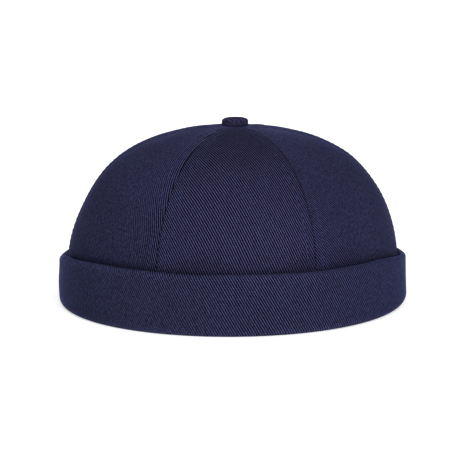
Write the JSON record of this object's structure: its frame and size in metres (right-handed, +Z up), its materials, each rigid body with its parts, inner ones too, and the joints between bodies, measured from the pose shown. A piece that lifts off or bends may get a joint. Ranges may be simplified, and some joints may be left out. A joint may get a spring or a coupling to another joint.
{
  "type": "docker cap",
  "caption": "Brimless docker cap in navy twill: sewn crown panels, a turned-up cuff round the edge and a covered top button. Open below for the head.",
  "frame": {"origin": "centre of the cap's plan at the surface that its folded lower edge rests on", "axes": "+Z up through the button, -Y towards the front of the cap, +X to the right as seen from the front"},
  "size_m": [0.192, 0.2092, 0.1003],
  "materials": {
    "crown_twill": "navy cotton twill, matt with a soft nap",
    "cuff_twill": "navy cotton twill, doubled and turned up",
    "button_twill": "navy cotton twill stretched over a button",
    "post_metal": "plain dull brass rivet"
  },
  "bodies": {
    "root": {"panel_front": "crown_twill", "panel_front_right": "crown_twill", "panel_back_right": "crown_twill", "panel_back": "crown_twill", "panel_back_left": "crown_twill", "panel_front_left": "crown_twill", "cuff": "cuff_twill", "button": "button_twill", "button_post": "post_metal"}
  },
  "joints": []
}
